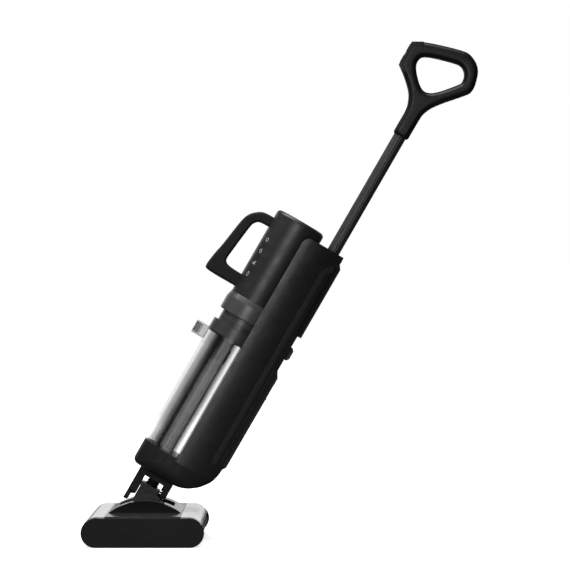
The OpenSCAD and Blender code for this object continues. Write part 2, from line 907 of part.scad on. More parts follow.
module pole_button() {
  color([0.15, 0.15, 0.15]) body() translate([0, 0, release_z])
    rod_x(release_r, pole_x + socket_r - 0.2, shell_back + 0.7);
}

// Outline and opening of the handle loop, in X and Z; inset is the wall left outside it
module handle_section(inset = 0) {
  outer = [[49, sleeve_z - 60], [49, 882], [46.5, 895], [39, 912], [25.9, 926], [7.2, 942], [button_x, 951],
    [button_x, 999], [20.3, 1013], [82, 1031.8], [103, 1034], [128.8, 1018.7], [138.5, 989],
    [139, 972], [132.5, 962.6], [91.4, 916], [81.1, 893.5], [80, 880], [80, sleeve_z - 60]];
  hole = [[21.8, 974], [27.8, 988], [82, 1003.8], [98, 1006], [111, 996.3], [115, 980],
    [110, 972], [82, 938.3], [64, 928.5], [49, 934.6], [25.9, 958.9]];
  difference() {
    union() {
      polygon(moved_in(rounded(outer), inset));
      polygon([[button_x + inset, 952.5], [button_x + inset, 998], [10, 1004 - inset], [10, 945 + inset]]);
    }
    polygon(moved_in(rounded(hole), -inset));
    panel([0, sleeve_z - 100], [150, sleeve_z]);
  }
}

module button_well(z, grow) {
  block([button_x - 1 - grow, -6 - grow, z - 7 - grow], [button_x + 7 + grow, 6 + grow, z + 7 + grow]);
}

module handle_half(side) {
  half = grip_t / 2;
  inner = half - wall;
  pole_end = sleeve_z + 60;
  body() difference() {
    across(side > 0 ? 0 : -half, side > 0 ? half : 0) handle_section();
    difference() {
      across(side > 0 ? -1 : -inner, side > 0 ? inner : 1) handle_section(wall);
      block([button_x, -grip_t, button_z[0] - 12], [button_x + 8, grip_t, button_z[1] + 12]);
    }
    translate([pole_x, 0, 0]) rod_z(pole_r, sleeve_z - 1, pole_end);
    for (z = button_z) button_well(z, gap);
  }
}

module handle_left() {
  color([0.13, 0.13, 0.13]) handle_half(-1);
}

module handle_right() {
  color([0.13, 0.13, 0.13]) handle_half(1);
}

module handle_button(z) {
  color([0.2, 0.2, 0.21]) body()
    block([button_x - 0.8, -6, z - 7], [button_x + 4, 6, z + 7]);
}

module power_button() {
  handle_button(button_z[1]);
}

module mode_button() {
  handle_button(button_z[0]);
}

// ---- drawing ----

chassis_base();
base_plate();
end_cap_left();
end_cap_right();
front_roller_cover();
rear_roller_cover();
centre_deck();
vault_cheeks();
pivot_blocks();
suction_duct();
spray_bars();
squeegee_blades();
head_screws();
front_drive_motor();
rear_drive_motor();
front_roller_core();
front_roller_pile();
front_roller_shaft();
rear_roller_core();
rear_roller_pile();
rear_roller_shaft();
neck_knuckle();
tilt_pins();
yoke();
swivel_pins();
neck_bellows();
bowl();
rear_shell();
cradle_panel();
rear_cover();
pole_socket();
water_pump();
frame_board();
seat_gasket();
clean_tank();
fill_flap();
clean_tank_latch();
motor_housing();
top_cover();
display_window();
carry_loop();
suction_motor();
impeller();
battery_cells();
control_board();
filter_collar();
pleated_filter();
status_marks();
tank_jar();
standpipe();
tank_lid();
float();
latch_housing();
tank_latch();
pole();
pole_button();
handle_left();
handle_right();
power_button();
mode_button();
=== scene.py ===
"""Upright cordless floor washer: looks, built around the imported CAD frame.
Metres, +Z up, +X to the rear."""
import json
import math

import bmesh
import bpy
from mathutils import Matrix, Vector, noise as field


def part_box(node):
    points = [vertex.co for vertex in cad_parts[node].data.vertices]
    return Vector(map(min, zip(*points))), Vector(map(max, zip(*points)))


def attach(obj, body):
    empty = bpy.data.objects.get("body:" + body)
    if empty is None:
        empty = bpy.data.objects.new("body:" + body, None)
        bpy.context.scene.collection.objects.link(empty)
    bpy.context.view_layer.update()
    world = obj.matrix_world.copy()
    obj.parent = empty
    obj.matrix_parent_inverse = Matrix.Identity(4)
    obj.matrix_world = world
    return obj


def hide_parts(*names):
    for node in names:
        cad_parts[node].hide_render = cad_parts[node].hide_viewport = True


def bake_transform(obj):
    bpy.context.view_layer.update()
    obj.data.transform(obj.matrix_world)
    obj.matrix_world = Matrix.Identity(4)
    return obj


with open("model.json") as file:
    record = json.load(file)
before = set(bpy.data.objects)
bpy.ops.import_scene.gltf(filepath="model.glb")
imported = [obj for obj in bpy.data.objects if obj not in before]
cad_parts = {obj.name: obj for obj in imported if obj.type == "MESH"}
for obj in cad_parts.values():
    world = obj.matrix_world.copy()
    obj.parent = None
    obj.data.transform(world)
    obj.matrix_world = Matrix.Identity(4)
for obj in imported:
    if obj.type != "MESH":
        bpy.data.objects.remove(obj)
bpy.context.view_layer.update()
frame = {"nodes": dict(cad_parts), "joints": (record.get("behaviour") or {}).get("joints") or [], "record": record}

nodes = frame["nodes"]
record = frame["record"]
joints = {j["name"]: j for j in frame["joints"]}
slot_of = {s["node"]: s["material_slot"] for s in record["subparts"]}
scene = bpy.context.scene
MM = 0.001

# The machine's own frame: origin on the tilt axis, X to its rear, Z up along the leaning body
PIVOT = Vector(joints["neck_tilt"]["pos_m"])
BACK = Vector(joints["clean_tank_release"]["axis"]).normalized()
UP = Vector(joints["pole_release"]["axis"]).normalized()
ACROSS = Vector((0, 1, 0))
BODY = Matrix.Translation(PIVOT) @ Matrix((BACK, ACROSS, UP)).transposed().to_4x4()
INTO_BODY = BODY.inverted()


def body_point(x, y, z):
    """A point in the row frame from millimetres in the machine's own frame."""
    return BODY @ Vector((x * MM, y * MM, z * MM))


def reach(name):
    """Lowest and highest corner of a CAD node in the machine's own frame, in millimetres."""
    points = [(INTO_BODY @ v.co) / MM for v in nodes[name].data.vertices]
    return (Vector([min(p[i] for p in points) for i in range(3)]),
            Vector([max(p[i] for p in points) for i in range(3)]))


# ---- camera, light and floor ----

CAMERA_AT = Vector((0.2582, -4.085, 0.4755))
CAMERA_LENS = 138.0
SENSOR_WIDTH = 36.0
FLOOR_SIZE = 14.0
FLOOR_DROP = 0.0005     # keeps the floor just under the machine
MIDDLE = Vector((0.2, 0, 0.45))


def make_camera():
    data = bpy.data.cameras.new("camera")
    data.lens = CAMERA_LENS
    data.sensor_width = SENSOR_WIDTH
    data.clip_end = 50
    camera = bpy.data.objects.new("camera", data)
    scene.collection.objects.link(camera)
    camera.location = CAMERA_AT
    camera.rotation_euler = (math.radians(90), 0, 0)
    scene.camera = camera


def seen_and_lit(tree, seen, light, output, socket="Surface"):
    """One shader where the camera sees a surface, and another for the light that it gives."""
    path = tree.nodes.new("ShaderNodeLightPath")
    mix = tree.nodes.new("ShaderNodeMixShader")
    tree.links.new(path.outputs["Is Camera Ray"], mix.inputs["Fac"])
    tree.links.new(light, mix.inputs[1])
    tree.links.new(seen, mix.inputs[2])
    tree.links.new(mix.outputs[0], output.inputs[socket])


def make_world(strength):
    world = bpy.data.worlds.new("studio")
    scene.world = world
    world.use_nodes = True
    tree = world.node_tree
    tree.nodes.clear()
    backdrop = tree.nodes.new("ShaderNodeBackground")
    backdrop.inputs["Color"].default_value = (1, 1, 1, 1)
    backdrop.inputs["Strength"].default_value = 1.0
    light = tree.nodes.new("ShaderNodeBackground")
    light.inputs["Color"].default_value = (0.95, 0.97, 1, 1)
    light.inputs["Strength"].default_value = strength
    output = tree.nodes.new("ShaderNodeOutputWorld")
    seen_and_lit(tree, backdrop.outputs[0], light.outputs[0], output)


def softbox(name, at, target, size, power):
    data = bpy.data.lights.new(name, "AREA")
    data.shape = "RECTANGLE"
    data.size, data.size_y = size
    data.energy = power
    lamp = bpy.data.objects.new(name, data)
    scene.collection.objects.link(lamp)
    lamp.location = at
    lamp.rotation_euler = (Vector(target) - Vector(at)).to_track_quat("-Z", "Y").to_euler()


def make_floor():
    """A pale floor with painted light: its camera-seen glow rises with distance from the machine, so it brightens
    to the backdrop's white away from the machine and stays greyer close to it.
    """
    corners = [(-1, -1), (1, -1), (1, 1), (-1, 1)]
    mesh = bpy.data.meshes.new("floor")
    mesh.from_pydata([(x * FLOOR_SIZE, y * FLOOR_SIZE, 0) for x, y in corners], [], [(0, 1, 2, 3)])
    floor = bpy.data.objects.new("floor", mesh)
    scene.collection.objects.link(floor)
    floor.location.z = -FLOOR_DROP
    material = bpy.data.materials.new("floor_white")
    material.use_nodes = True
    tree = material.node_tree
    shader = tree.nodes["Principled BSDF"]
    shader.inputs["Base Color"].default_value = (0.86, 0.86, 0.86, 1)
    shader.inputs["Roughness"].default_value = 0.9
    shader.inputs["Specular IOR Level"].default_value = 0.1
    place = tree.nodes.new("ShaderNodeTexCoord").outputs["Object"]
    length = tree.nodes.new("ShaderNodeVectorMath")
    length.operation = "LENGTH"
    tree.links.new(place, length.inputs[0])
    # painted light: the glow is dimmer near the machine and full away from it, which paints a grey pool round the
    # machine
    painted_glow_fade = tree.nodes.new("ShaderNodeMapRange")
    for key, value in (("From Min", 0.2), ("From Max", 1.2), ("To Min", 0.76), ("To Max", 1.1)):
        painted_glow_fade.inputs[key].default_value = value
    tree.links.new(length.outputs["Value"], painted_glow_fade.inputs["Value"])
    painted_floor_glow = tree.nodes.new("ShaderNodeEmission")
    tree.links.new(painted_glow_fade.outputs[0], painted_floor_glow.inputs["Strength"])
    add = tree.nodes.new("ShaderNodeAddShader")
    tree.links.new(shader.outputs[0], add.inputs[0])
    tree.links.new(painted_floor_glow.outputs[0], add.inputs[1])
    bounce = tree.nodes.new("ShaderNodeBsdfDiffuse")
    bounce.inputs["Color"].default_value = (0.12, 0.12, 0.12, 1)
    seen_and_lit(tree, add.outputs[0], bounce.outputs[0], tree.nodes["Material Output"])
    mesh.materials.append(material)


make_camera()
make_world(0.035)
make_floor()
softbox("key", (-0.32, -3.5, 0.95), MIDDLE, (1.1, 2.0), 36)
softbox("fill", (-2.9, -1.2, 0.9), MIDDLE, (1.0, 1.8), 5)
softbox("top", (-0.1, -0.2, 2.5), (0.1, 0, 0.1), (2.2, 1.6), 66)
softbox("rim", (-1.5, 3.3, 1.2), MIDDLE, (1.2, 2.0), 9)
softbox("back", (1.3, 3.5, 1.2), MIDDLE, (1.2, 2.0), 20)
softbox("horizon", (0.0, 3.4, 0.5), (0.0, 0, 0.2), (1.5, 0.8), 3)
scene.view_settings.view_transform = "Standard"
scene.view_settings.look = "None"

# ---- materials ----


def node(tree, kind, **inputs):
    made = tree.nodes.new(kind)
    for key, value in inputs.items():
        made.inputs[key.replace("_", " ")].default_value = value
    return made


def ramp(tree, source, low, high, start=0.3, end=0.7, smooth=False):
    """source, a number from start to end, remapped to low..high."""
    made = tree.nodes.new("ShaderNodeMapRange")
    if smooth:
        made.interpolation_type = "SMOOTHSTEP"
    made.inputs["From Min"].default_value = start
    made.inputs["From Max"].default_value = end
    made.inputs["To Min"].default_value = low
    made.inputs["To Max"].default_value = high
    tree.links.new(source, made.inputs["Value"])
    return made.outputs[0]


def maths(tree, kind, a, b):
    made = tree.nodes.new("ShaderNodeMath")
    made.operation = kind
    for socket, value in zip(made.inputs, (a, b)):
        if isinstance(value, (int, float)):
            socket.default_value = value
        else:
            tree.links.new(value, socket)
    return made.outputs[0]


def shade(colour, gain):
    return tuple(min(1, c * gain) for c in colour[:3]) + (1,)


def noise(tree, coords, scale, detail=3.0, roughness=0.5, stretch=None):
    made = node(tree, "ShaderNodeTexNoise", Scale=scale, Detail=detail, Roughness=roughness)
    source = coords
    if stretch:
        mapping = tree.nodes.new("ShaderNodeMapping")
        mapping.inputs["Scale"].default_value = stretch
        tree.links.new(coords, mapping.inputs["Vector"])
        source = mapping.outputs[0]
    tree.links.new(source, made.inputs["Vector"])
    return made.outputs["Fac"]


def blend_colours(tree, factor, first, second):
    """A mix of two colours; each is a fixed colour or another node's output."""
    mix = tree.nodes.new("ShaderNodeMix")
    mix.data_type = "RGBA"
    for socket, value in ((mix.inputs[6], first), (mix.inputs[7], second)):
        if isinstance(value, tuple):
            socket.default_value = value
        else:
            tree.links.new(value, socket)
    tree.links.new(factor, mix.inputs["Factor"])
    return mix.outputs[2]


def moulded(name, colour, rough=0.4, vary=0.12, grain=0.02, grain_scale=2600, coat=0.0,
            metallic=0.0, streak=None, specular=0.5, spread=0.06, wear=1.6):
    """A moulded or machined surface: slow colour drift, uneven gloss with faint smears, a fine
    grain and edges rubbed a little lighter by wear."""
    material = bpy.data.materials.new(name)
    material.use_nodes = True
    tree = material.node_tree
    shader = tree.nodes["Principled BSDF"]
    coords = tree.nodes.new("ShaderNodeTexCoord").outputs["Object"]
    drift = blend_colours(tree, ramp(tree, noise(tree, coords, 9, 4), 0, 1),
                          shade(colour, 1 - vary), shade(colour, 1 + vary))
    pointed = tree.nodes.new("ShaderNodeNewGeometry").outputs["Pointiness"]
    edge = ramp(tree, pointed, 0, 1, 0.54, 0.62)
    rubbed = maths(tree, "MULTIPLY", edge, ramp(tree, noise(tree, coords, 60, 4), 0, 0.8))
    tree.links.new(blend_colours(tree, rubbed, drift, shade(colour, wear)),
                   shader.inputs["Base Color"])
    smear = noise(tree, coords, 28, 5, 0.6, streak or (1, 1, 2.5))
    gloss = ramp(tree, smear, max(0.02, rough - spread), rough + spread)
    tree.links.new(maths(tree, "ADD", gloss, maths(tree, "MULTIPLY", rubbed, 0.08)),
                   shader.inputs["Roughness"])
    bump = node(tree, "ShaderNodeBump", Strength=grain, Distance=0.0006)
    tree.links.new(noise(tree, coords, grain_scale, 2), bump.inputs["Height"])
    tree.links.new(bump.outputs[0], shader.inputs["Normal"])
    shader.inputs["Metallic"].default_value = metallic
    shader.inputs["Specular IOR Level"].default_value = specular
    shader.inputs["Coat Weight"].default_value = coat
    shader.inputs["Coat Roughness"].default_value = 0.12
    return material


def along_body(tree, coords, axis):
    """Distance in metres of each point from the tilt axis along one of the machine's own axes."""
    shift = tree.nodes.new("ShaderNodeVectorMath")
    shift.operation = "SUBTRACT"
    tree.links.new(coords, shift.inputs[0])
    shift.inputs[1].default_value = PIVOT
    dot = tree.nodes.new("ShaderNodeVectorMath")
    dot.operation = "DOT_PRODUCT"
    tree.links.new(shift.outputs[0], dot.inputs[0])
    dot.inputs[1].default_value = axis
    return dot.outputs["Value"]


def along(tree, source, points):
    """A curve through (place, value) points: metres along source, and values from 0 to 1."""
    low, high = points[0][0], points[-1][0]
    scaled = ramp(tree, source, 0, 1, low, high)
    curve = tree.nodes.new("ShaderNodeValToRGB")
    elements = curve.color_ramp.elements
    while len(elements) < len(points):
        elements.new(0.5)
    for element, (place, value) in zip(elements, points):
        element.position = (place - low) / (high - low)
        element.color = (value, value, value, 1)
    tree.links.new(scaled, curve.inputs["Fac"])
    return curve.outputs["Color"]


def clear(name, haze, rim, painted_shade_bands=None, rough=0.05, colour=(0.9, 0.92, 0.93, 1)):
    """Clear moulded plastic: almost nothing face on, with faint flow marks; its whiter edges are a painted
    reflection.
    painted_shade_bands, when given, paints shade onto the jar: dark bands that stand for the shading seen through
    it, as points: millimetres behind the tilt axis, and how opaque."""
    material = bpy.data.materials.new(name)
    material.use_nodes = True
    tree = material.node_tree
    shader = tree.nodes["Principled BSDF"]
    coords = tree.nodes.new("ShaderNodeTexCoord").outputs["Object"]
    facing = tree.nodes.new("ShaderNodeLayerWeight")
    facing.inputs["Blend"].default_value = 0.5
    # painted reflection: opacity rises towards grazing, so the plastic's colour, white by default, shows as a
    # bright rim
    edge = ramp(tree, facing.outputs["Facing"], 0, 1, 0.74, 1.0, smooth=True)
    alpha = ramp(tree, edge, haze, rim, 0, 1)
    if painted_shade_bands:
        # painted shade: the jar is made more opaque and darker in bands, set by its distance behind the tilt axis
        painted_shade = along(tree, along_body(tree, coords, BACK), [(x * MM, v) for x, v in painted_shade_bands])
        alpha = maths(tree, "MAXIMUM", alpha, painted_shade)
        painted_shade_dark = ramp(tree, painted_shade, 0, 1, 0.02, 0.16)
        tree.links.new(blend_colours(tree, painted_shade_dark, colour, (0.012, 0.012, 0.013, 1)),
                       shader.inputs["Base Color"])
    else:
        shader.inputs["Base Color"].default_value = colour
    cloud = ramp(tree, noise(tree, coords, 30, 4), 0.94, 1.06)
    tree.links.new(maths(tree, "MULTIPLY", alpha, cloud), shader.inputs["Alpha"])
    tree.links.new(ramp(tree, noise(tree, coords, 30, 4), rough * 0.6, rough * 1.6),
                   shader.inputs["Roughness"])
    bump = node(tree, "ShaderNodeBump", Strength=0.02, Distance=0.001)
    tree.links.new(noise(tree, coords, 60, 2, 0.5, (1, 1, 0.2)), bump.inputs["Height"])
    tree.links.new(bump.outputs[0], shader.inputs["Normal"])
    shader.inputs["Specular IOR Level"].default_value = 0.5
    return material


def pile_cloth(name, colour):
    """Short dense microfibre pile, in soft tufts that lie round the roller."""
    material = moulded(name, colour, 0.95, vary=0.3, grain=0.9, grain_scale=900, specular=0.1,
                       wear=1.3)
    shader = material.node_tree.nodes["Principled BSDF"]
    shader.inputs["Sheen Weight"].default_value = 0.5
    shader.inputs["Sheen Roughness"].default_value = 0.4
    return material


def lid_plastic(name, colour, inside, level):
    """The lid's plastic, paler where it hangs inside the jar, below level in millimetres."""
    material = moulded(name, colour, 0.34, grain=0.03, specular=0.5)
    tree = material.node_tree
    shader = tree.nodes["Principled BSDF"]
    socket = shader.inputs["Base Color"]
    drift = socket.links[0].from_socket
    coords = tree.nodes.new("ShaderNodeTexCoord").outputs["Object"]
    below = ramp(tree, along_body(tree, coords, UP), 1, 0, (level - 0.5) * MM, (level + 0.5) * MM)
    tree.links.new(blend_colours(tree, below, drift, inside), socket)
    return material


def cloudy(material, alpha):
    """Lets a little light through a plastic."""
    material.node_tree.nodes["Principled BSDF"].inputs["Alpha"].default_value = alpha
    return material


BLACK = 0.0062
# Painted shade for the tank jar: how opaque and dark it is painted at each distance behind the tilt axis
# (millimetres), standing in for the shading seen through it
TANK_PAINTED_SHADE = [(-70, 0.1), (-66, 0.11), (-62.5, 0.09), (-60, 0.18), (-57, 0.25), (-52, 0.31),
             (-46, 0.54), (-42, 0.78), (-37.5, 0.8), (-36, 0.6), (-34, 0.22), (-31, 0.14),
             (-27, 0.07), (-24, 0.02), (-20, 0.08), (-12, 0.1), (-10.6, 0.42), (-9, 0.41),
             (-6, 0.28), (-3, 0.15), (0, 0.07), (2, 0.1), (4, 0.4), (8, 0.1), (36, 0.04)]
materials = {
    "black_plastic": moulded("black_plastic", (BLACK, BLACK, BLACK), 0.4, grain=0.03, specular=0.3),
    "cap_plastic": moulded("cap_plastic", (0.0205, 0.0205, 0.0208), 0.55, grain=0.03, specular=0.1,
                           wear=1.2),
    "cover_silver": moulded("cover_silver", (0.52, 0.525, 0.535), 0.2, vary=0.02, coat=0.7,
                            grain=0.01, wear=1.05),
    "deck_grey": moulded("deck_grey", (0.035, 0.035, 0.0357), 0.18, vary=0.05, coat=0.1, grain=0.01,
                         specular=0.35, wear=1.3),
    "frame_black": moulded("frame_black", (0.009, 0.009, 0.0092), 0.36, grain=0.04, specular=0.6),
    "strip_black": moulded("strip_black", (0.026, 0.026, 0.0265), 0.34, grain=0.03, specular=0.8,
                           wear=1.1),
    "housing_grey": moulded("housing_grey", (0.017, 0.017, 0.0173), 0.42, grain=0.04,
                            specular=0.55),
    "bowl_black": moulded("bowl_black", (0.015, 0.015, 0.0152), 0.5, grain=0.03, specular=0.2),
    # painted shade: the vault cheeks get a far darker copy of the black plastic, standing in for the shade they
    # sit in
    "cheek_black_painted_shade": moulded("cheek_black_painted_shade", (0.002, 0.002, 0.0021), 0.4, grain=0.03, specular=0.08),
    "lid_grey": moulded("lid_grey", (0.072, 0.072, 0.0725), 0.34, grain=0.03, specular=0.6),
    "jar_lid": lid_plastic("jar_lid", (0.046, 0.046, 0.0465), (0.26, 0.26, 0.262, 1), 347),
    "latch_grey": moulded("latch_grey", (0.07, 0.07, 0.072), 0.34),
    "clear_tank": clear("clear_tank", 0.04, 0.5, TANK_PAINTED_SHADE),
    "clear_latch": clear("clear_latch", 0.4, 0.8, colour=(0.06, 0.06, 0.062, 1)),
    "smoke_window": moulded("smoke_window", (0.004, 0.004, 0.005), 0.06, coat=1.0, grain=0.0,
                            spread=0.03),
    "mark_grey": moulded("mark_grey", (0.45, 0.45, 0.455), 0.45, vary=0.03),
    "pile_grey": pile_cloth("pile_grey", (0.045, 0.045, 0.048)),
    "core_plastic": moulded("core_plastic", (0.05, 0.05, 0.052), 0.5),
    "motor_steel": moulded("motor_steel", (0.45, 0.45, 0.46), 0.32, metallic=1.0, wear=1.2),
    "plate_steel": moulded("plate_steel", (0.4, 0.4, 0.42), 0.45, metallic=1.0, wear=1.2),
    "pin_steel": moulded("pin_steel", (0.6, 0.6, 0.62), 0.2, metallic=1.0, wear=1.1),
    "seal_rubber": moulded("seal_rubber", (0.006, 0.006, 0.006), 0.62, grain=0.06, specular=0.3),
    "pipe_grey": cloudy(moulded("pipe_grey", (0.38, 0.38, 0.382), 0.3, grain=0.01, vary=0.04,
                                specular=0.7), 0.82),
    "pole_alu": moulded("pole_alu", (0.042, 0.042, 0.044), 0.46, metallic=0.4, grain=0.02,
                        streak=(8, 8, 0.6)),
    "white_plastic": moulded("white_plastic", (0.7, 0.7, 0.68), 0.5, wear=1.05),
    "filter_paper": moulded("filter_paper", (0.65, 0.64, 0.6), 0.9, grain=0.3, grain_scale=1200,
                            wear=1.05),
    "cell_blue": moulded("cell_blue", (0.05, 0.14, 0.28), 0.3),
    "board_green": moulded("board_green", (0.02, 0.1, 0.04), 0.35),
}


WELD = 1e-6            # points closer than this are one point
BEVEL_STEPS = 3
SHARP_ANGLE = 32       # degrees


def paint(obj, name):
    obj.data.materials.clear()
    obj.data.materials.append(materials[name])


def soften(obj, width):
    """Rounds an object's sharp edges without touching its mesh. width is in millimetres."""
    weld = obj.modifiers.new("weld", "WELD")
    weld.merge_threshold = 1e-5
    bevel = obj.modifiers.new("edges", "BEVEL")
    bevel.width = width * MM
    bevel.segments = BEVEL_STEPS
    bevel.limit_method = "ANGLE"
    bevel.angle_limit = math.radians(SHARP_ANGLE)
    bevel.use_clamp_overlap = True
    even_normals(obj)


def even_normals(obj):
    normals = obj.modifiers.new("normals", "WEIGHTED_NORMAL")
    normals.keep_sharp = False


EDGE = {"end_cap_left": 0.6, "end_cap_right": 0.6, "front_roller_cover": 0.8,
        "rear_roller_cover": 0.8, "centre_deck": 0.6, "vault_cheeks": 0.6, "neck_knuckle": 1.0,
        "yoke": 1.2, "rear_shell": 1.4, "rear_cover": 0.7, "clean_tank": 0.8,
        "clean_tank_latch": 1.0, "motor_housing": 0.5, "top_cover": 0.5, "filter_collar": 0.6,
        "tank_lid": 0.8, "pole_socket": 0.5, "pole_button": 0.6, "pivot_blocks": 0.6,
        "power_button": 0.8, "mode_button": 0.8, "latch_housing": 1.2, "tank_latch": 0.8}

for name, obj in nodes.items():
    paint(obj, slot_of[name])
    if name in EDGE:
        soften(obj, EDGE[name])
# Finishes that differ from the node's own material slot
for name, finish in (("standpipe", "pipe_grey"), ("status_marks", "housing_grey"),
                     ("tank_lid", "jar_lid"), ("tank_latch", "latch_grey"),
                     ("latch_housing", "clear_latch"), ("vault_cheeks", "cheek_black_painted_shade"),
                     ("yoke", "cap_plastic"), ("float", "white_plastic"),
                     ("end_cap_left", "cap_plastic"), ("end_cap_right", "cap_plastic")):
    paint(nodes[name], finish)

# ---- mesh helpers ----


def mesh_object(name, verts, faces, body, slot, smooth=True):
    mesh = bpy.data.meshes.new(name)
    mesh.from_pydata([tuple(v) for v in verts], [], faces)
    return finish_piece(name, mesh, body, slot, smooth)


def finish_piece(name, mesh, body, slot, smooth=True):
    """Makes an object of a mesh, cleans it, paints it and puts it on its body. slot is one of the record's
    material slots, or a pair: that slot, and the finish that is painted. The slot is not used; only the finish is
    painted."""
    slot, finish = slot if isinstance(slot, tuple) else (slot, slot)
    clean = bmesh.new()
    clean.from_mesh(mesh)
    bmesh.ops.remove_doubles(clean, verts=clean.verts, dist=WELD)
    bmesh.ops.recalc_face_normals(clean, faces=clean.faces)
    for face in clean.faces:
        face.smooth = smooth
    clean.to_mesh(mesh)
    clean.free()
    obj = bpy.data.objects.new(name, mesh)
    scene.collection.objects.link(obj)
    paint(obj, finish)
    if body:
        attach(obj, body)
    return obj


def grid_faces(rows, columns, wrap=False):
    """Quads between the points of a grid, row after row; wrap joins the last column to the
    first."""
    last = columns if wrap else columns - 1
    return [(r * columns + c, r * columns + (c + 1) % columns,
             (r + 1) * columns + (c + 1) % columns, (r + 1) * columns + c)
            for r in range(rows - 1) for c in range(last)]


def cut_corners(points, times=1):
    """The outline with each corner cut into two points, again and again: a smooth closed curve."""
    for _ in range(times):
        count = len(points)
        points = [points[i].lerp(points[(i + 1) % count], t)
                  for i in range(count) for t in (0.25, 0.75)]
    return points


def outline(points, times=3):
    return cut_corners([Vector(p) for p in points], times)


# Drawn outlines lie in the machine's own X and Z, and are thickened across it
DRAWN = BODY @ Matrix(((1, 0, 0, 0), (0, 0, -1, 0), (0, 1, 0, 0), (0, 0, 0, 1)))


def thick_shape(name, loops, half, edge, steps=6):
    """A mesh of closed outlines (millimetres, X and Z), thickened both ways, with round edges."""
    curve = bpy.data.curves.new(name, "CURVE")
    curve.dimensions = "2D"
    curve.fill_mode = "BOTH"
    for loop in loops:
        spline = curve.splines.new("POLY")
        spline.points.add(len(loop) - 1)
        for point, at in zip(spline.points, loop):
            point.co = (at.x * MM, at.y * MM, 0, 1)
        spline.use_cyclic_u = True
    curve.extrude = (half - edge) * MM
    curve.bevel_depth = edge * MM
    curve.bevel_resolution = steps
    curve.offset = -edge * MM
    holder = bpy.data.objects.new(name + "_curve", curve)
    scene.collection.objects.link(holder)
    view = bpy.context.evaluated_depsgraph_get()
    mesh = bpy.data.meshes.new_from_object(holder.evaluated_get(view))
    bpy.data.objects.remove(holder)
    bpy.data.curves.remove(curve)
    mesh.transform(DRAWN)
    return mesh


def split_side(mesh, sign, groove=0.03):
    """The part of a mesh on one side of the middle plane, with a fine step along the joint."""
    half = mesh.copy()
    work = bmesh.new()
    work.from_mesh(half)
    bmesh.ops.remove_doubles(work, verts=work.verts, dist=WELD)
    middle = groove * MM * sign
    everything = work.verts[:] + work.edges[:] + work.faces[:]
    bmesh.ops.bisect_plane(work, geom=everything, plane_co=(0, middle, 0), plane_no=(0, -sign, 0),
                           clear_outer=True)
    rim = [e for e in work.edges if e.is_boundary]
    bmesh.ops.triangle_fill(work, edges=rim, use_beauty=True, normal=(0, -sign, 0))
    work.to_mesh(half)
    work.free()
    return half


# ---- main handle ----

HANDLE_OUTER = [(48.9, 832.7), (48.9, 850), (49, 882), (46.5, 895), (39, 912), (25.9, 926),
                (7.2, 942), (-2, 948), (-5.3, 953), (-5.3, 975), (-5.3, 996), (-2, 1000.85),
                (20.3, 1012.9), (82, 1031.6), (103, 1033.8), (128.8, 1018.7), (138.5, 989),
                (139, 972), (132.5, 962.6), (91.4, 916), (81.1, 893.5), (80, 880), (80, 850),
                (80, 832.7)]
HANDLE_HOLE = [(21.8, 974), (27.8, 988), (82, 1003.8), (98, 1006), (111, 996.3), (115, 980),
               (110, 972), (82, 938.3), (64, 928.5), (49, 934.6), (25.9, 958.9)]
HANDLE_PAD = [(-5.3, 951.4), (-5.3, 998.6), (14, 1009.5), (20, 1003), (13, 970), (14, 938.5)]


WELL_DEPTH, WELL_OPEN, WELL_GAP = 3, 2, 0.25


def cut_well(piece, button):
    """Opens the well that a button sinks into when it is pressed."""
    low, high = reach(button)
    low -= Vector((WELL_DEPTH, WELL_GAP, WELL_GAP))
    high += Vector((WELL_OPEN, WELL_GAP, WELL_GAP))
    corners = [body_point(x, y, z) for x in (low.x, high.x) for y in (low.y, high.y)
               for z in (low.z, high.z)]
    work = bmesh.new()
    bmesh.ops.convex_hull(work, input=[work.verts.new(c) for c in corners])
    block = bpy.data.meshes.new("well")
    work.to_mesh(block)
    work.free()
    cutter = bpy.data.objects.new("well", block)
    scene.collection.objects.link(cutter)
    cut = piece.modifiers.new("well", "BOOLEAN")
    cut.object, cut.operation, cut.solver = cutter, "DIFFERENCE", "EXACT"
    view = bpy.context.evaluated_depsgraph_get()
    piece.data = bpy.data.meshes.new_from_object(piece.evaluated_get(view))
    piece.modifiers.remove(cut)
    bpy.data.objects.remove(cutter)


def make_handle():
    whole = thick_shape("handle", [outline(HANDLE_OUTER, 2), outline(HANDLE_HOLE, 3)], 15, 10)
    for side, sign in (("left", -1), ("right", 1)):
        piece = finish_piece("handle_shell_" + side, split_side(whole, sign), "pole",
                             "black_plastic")
        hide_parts("handle_" + side)
        cut_well(piece, "power_button")
        cut_well(piece, "mode_button")
        even_normals(piece)
    pad = thick_shape("pad", [[Vector(p) for p in HANDLE_PAD]], 14.6, 1.6, 3)
    even_normals(finish_piece("handle_pad", pad, "pole", "black_plastic"))


# ---- carry loop ----

LOOP_OUTER = [(-52, 586), (-84, 586), (-95.7, 580), (-105, 571.5), (-110.6, 562.5), (-114.4, 549),
              (-122.8, 489.5), (-125.6, 480), (-130.4, 447), (-127, 439), (-52, 439)]
LOOP_INNER = [(-52, 464.3), (-84, 465), (-97, 467.5), (-102.6, 473.5), (-101.6, 486),
              (-94.7, 547.5), (-92, 558), (-84, 566), (-52, 566)]


def corner_point(before, corner, after, t, share=0.42):
    """A point on the round that replaces a corner."""
    a = corner.lerp(before, share)
    b = corner.lerp(after, share)
    return a.lerp(corner, t).lerp(corner.lerp(b, t), t)


